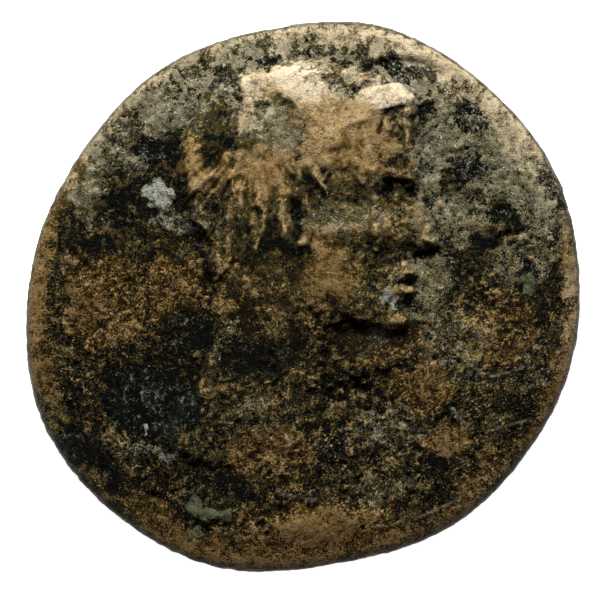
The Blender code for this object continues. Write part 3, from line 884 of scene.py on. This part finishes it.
def platesAndGlints(bench, surface, colour):
    # thin plates of grey patina, with painted highlight on them where the pale layer lies: lighter, and a
    # sandy border; then painted glints as pale flecks, frost, and more painted glints as sandy crystals
    look = bronzeLook
    lumps, blotch, mottle, speck, grain = pick(surface, "lumps blotch mottle speck grain")
    veil, dark, pale, gritty = pick(surface, "veil dark pale gritty")
    high, tone, charred = pick(surface, "high tone charred")
    plate = surface["plates"] + 0.5 * mottle + 0.4 * blotch + 0.4 * veil - 0.5 * gritty - 0.5 * dark
    # painted highlight: the plates grow lighter with the pale layer, and get their sandy border only where
    # it lies
    plateShade = bench.step(0.8 * mottle + 0.8 * lumps + 0.7 * grain + 0.4 * high + 1.3 * pale, -0.8, 2.0)
    border = bench.step(plate, 0.00, 0.35) * bench.step(pale, 0.1, 0.5)
    colour = bench.blend(0.35 * border, colour, look["sandAndHighlight"])
    plateColour = bench.blend(plateShade, look["ash"], look["mist"])
    colour = bench.blend(0.85 * bench.step(plate, 0.25, 0.80), colour, plateColour)
    # painted glints: pale flecks over the patina
    glintFleck = 0.8 * grain + 0.6 * speck + 0.35 * mottle + 0.25 * veil + 0.1 * charred
    colour = bench.blend(0.7 * bench.step(glintFleck, 0.80, 1.15), colour, look["glintFleck"])
    frostShare = charred * bench.step(mottle + 0.6 * grain + 0.5 * lumps, 0.15, 1.2)
    colour = bench.blend(0.5 * frostShare, colour, look["grey"])
    # painted glints: sandy crystals on the lighter patina
    glintShare = bench.step(tone + 0.5 * mottle + 0.5 * lumps, 0.5, 1.6)
    return bench.blend(0.75 * glintShare * surface["glintDots"], colour, look["sandAndHighlight"])


def rubbedMetal(bench, surface, colour):
    # metal rubbed bare on the high spots, cream as a painted highlight where the pale layer lies, scratches,
    # and the thin dark line round the edge
    look = bronzeLook
    broad, lumps, blotch, mottle, speck, grain = pick(surface, "broad lumps blotch mottle speck grain")
    bare, dark, veil, pale, gritty = pick(surface, "bare dark veil pale gritty")
    high, scratches = pick(surface, "high scratches")
    edgeLine = bench.step(surface["rim"], 0.972, 0.995)
    rubbed = (1.1 * bare + 0.4 * high - 0.9 * dark - 0.4 * veil + 0.15 * broad + 0.45 * lumps + 0.4 * blotch
              + 0.35 * mottle + (0.45 * speck + 0.3 * grain) * (0.4 + 0.6 * gritty))
    metalShare = bench.step(rubbed - 1.0 * edgeLine, 0.25, 1.10)
    shine = pale + 0.3 * high + 0.25 * lumps + 0.2 * blotch + 0.2 * mottle + 0.12 * scratches
    metal = bench.blend(bench.step(shine, -0.25, 0.65), look["rust"], look["bronze"])
    # painted highlight: the metal turns cream where the pale layer and the high spots add up
    paleShare = bench.step(shine, 0.35, 1.70)
    metal = bench.blend(paleShare, metal, look["creamHighlight"])
    worn = 0.4 * lumps + 0.4 * mottle + 0.7 * speck + 0.7 * grain + 0.5 * scratches
    wornColour = bench.blend(paleShare, look["umber"], look["veil"])
    metal = bench.blend(0.8 * bench.step(worn, -0.1, 1.3), metal, wornColour)
    colour = bench.blend(metalShare, colour, metal)
    scored = surface["scored"] * bench.step(mottle + 0.6 * speck, -1.2, 0.2)
    colour = bench.blend(0.35 * scored, colour, look["sandAndHighlight"])
    edgeShade = bench.step(lumps + 0.5 * mottle + 0.5 * grain, -0.4, 1.2)
    surface.update(metalShare=metalShare, paleShare=paleShare)
    return bench.blend(0.7 * edgeLine, colour, bench.blend(edgeShade, look["brown"], look["veil"]))


def crusts(bench, surface, colour):
    # grey deposits, and pale green crust with a dark border
    look = bronzeLook
    lumps, blotch, mottle, speck, grain = pick(surface, "lumps blotch mottle speck grain")
    deposit = 1.1 * surface["grey"] + 0.3 * blotch + 0.5 * speck + 0.3 * grain - 0.2 * surface["metalShare"]
    greyShare = 0.7 * bench.step(deposit, 0.5, 1.15)
    colour = bench.blend(greyShare, colour, look["grey"])
    growth = surface["green"] + 0.25 * blotch + 0.2 * speck
    colour = bench.blend(0.85 * bench.step(growth, 0.15, 0.40), colour, look["black"])
    greenShare = 0.8 * bench.step(growth + 0.2 * grain, 0.45, 0.80)
    mossShare = bench.step(mottle + 0.7 * speck + 0.5 * lumps, -0.5, 0.9)
    surface["crust"] = (greyShare + greenShare).clamped()
    return bench.blend(greenShare, colour, bench.blend(mossShare, look["moss"], look["green"]))


def bronzeMaterial():
    bench = Bench("wornBronze")
    surface = readSurface(bench)
    colour = patinaColour(bench, surface)
    for coat in (platesAndGlints, rubbedMetal, crusts):
        colour = coat(bench, surface, colour)
    metalShare, paleShare, crust, crease = pick(surface, "metalShare paleShare crust crease")
    blotch, mottle, speck, grain, scratches = pick(surface, "blotch mottle speck grain scratches")
    metallic = 0.30 * metalShare * (1.0 - 0.6 * paleShare) * (1.0 - crust)
    roughness = 0.30 + 0.08 * metalShare + 0.25 * crust + 0.06 * mottle
    bench.plug(bench.shader.inputs["Base Color"], colour)
    bench.plug(bench.shader.inputs["Metallic"], metallic.clamped())
    bench.plug(bench.shader.inputs["Roughness"], roughness.clamped())
    bench.shader.inputs["Specular IOR Level"].default_value = bronzeFinish["specular"]

    # grain too fine for the mesh, and fine scratches on the rubbed metal
    grit = (0.60 * blotch + 0.60 * speck + 0.70 * grain - 0.6 * crease) * (1.0 - 0.6 * metalShare)
    fineRelief = grit + 0.14 * scratches * metalShare
    bump = bench.node("ShaderNodeBump", inputs={
        "Strength": 1.0, "Distance": bronzeFinish["bumpDepth"] * mm, "Height": fineRelief})
    bench.plug(bench.shader.inputs["Normal"], bump)
    return bench.material


# Floor, light and camera

studio = {
    "floorColour": (0.93, 0.93, 0.92, 1),
    "floorHalf": 1.5,
    "floorRoughness": 0.9,
    "photoWidth": 600,  # in pixels, like the two middles below
    "pixel": 0.0493,  # millimetres on the coin for one pixel of the photograph
    "coinMiddle": (303.0, 296.5),
    "photoMiddle": (300.0, 295.0),
    "lens": 150.0,
    "edgeHeight": 1.4,
    "floorGlow": 1.0,
    "keyPlace": (-0.006, 0.084, 0.062),
    "keySize": 0.050,
    "keyPower": 0.365,
    "softPlace": (0.03, 0.20, 0.11),
    "softSize": 0.12,
    "softPower": 0.25,
    "sky": 0.05,
}


def aimedLight(name, place, size, power):
    deselectAll()
    bpy.ops.object.light_add(type="AREA", location=place)
    light = bpy.context.active_object
    light.name = name
    light.data.shape = "DISK"
    light.data.size = size
    light.data.energy = power
    light.rotation_euler = Vector(place).to_track_quat("Z", "Y").to_euler()
    return light


def makeStudio():
    deselectAll()
    bpy.ops.mesh.primitive_plane_add(size=2 * studio["floorHalf"], location=(0, 0, 0))
    floor = bpy.context.active_object
    floor.name = "floor"
    bench = Bench("paleFloor")
    bench.shader.inputs["Base Color"].default_value = studio["floorColour"]
    bench.shader.inputs["Roughness"].default_value = studio["floorRoughness"]
    bench.shader.inputs["Emission Color"].default_value = (1, 1, 1, 1)
    bench.shader.inputs["Emission Strength"].default_value = studio["floorGlow"]
    floor.data.materials.append(bench.material)

    aimedLight("keyLight", studio["keyPlace"], studio["keySize"], studio["keyPower"])
    aimedLight("softLight", studio["softPlace"], studio["softSize"], studio["softPower"])
    world = bpy.data.worlds.new("studio")
    world.use_nodes = True
    world.node_tree.nodes["Background"].inputs["Color"].default_value = (1, 1, 1, 1)
    world.node_tree.nodes["Background"].inputs["Strength"].default_value = studio["sky"]
    bpy.context.scene.world = world
    bpy.context.scene.view_settings.view_transform = "Standard"

    across = studio["pixel"] * studio["photoWidth"] * mm
    deselectAll()
    bpy.ops.object.camera_add()
    camera = bpy.context.active_object
    camera.name = "camera"
    camera.data.lens = studio["lens"]
    distance = across * studio["lens"] / camera.data.sensor_width
    camera.location = (
        (studio["photoMiddle"][0] - studio["coinMiddle"][0]) * studio["pixel"] * mm,
        (studio["coinMiddle"][1] - studio["photoMiddle"][1]) * studio["pixel"] * mm,
        distance + studio["edgeHeight"] * mm,
    )
    camera.data.clip_start = 0.001
    bpy.context.scene.camera = camera


makeStudio()
print("studio made")
coin = makeCoin()
print("coin modelled with", len(coin.data.polygons), "faces")
ageCoin(coin)
coin.data.materials.append(bronzeMaterial())
print("patina painted")

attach(coin, "root")
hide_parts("coin")
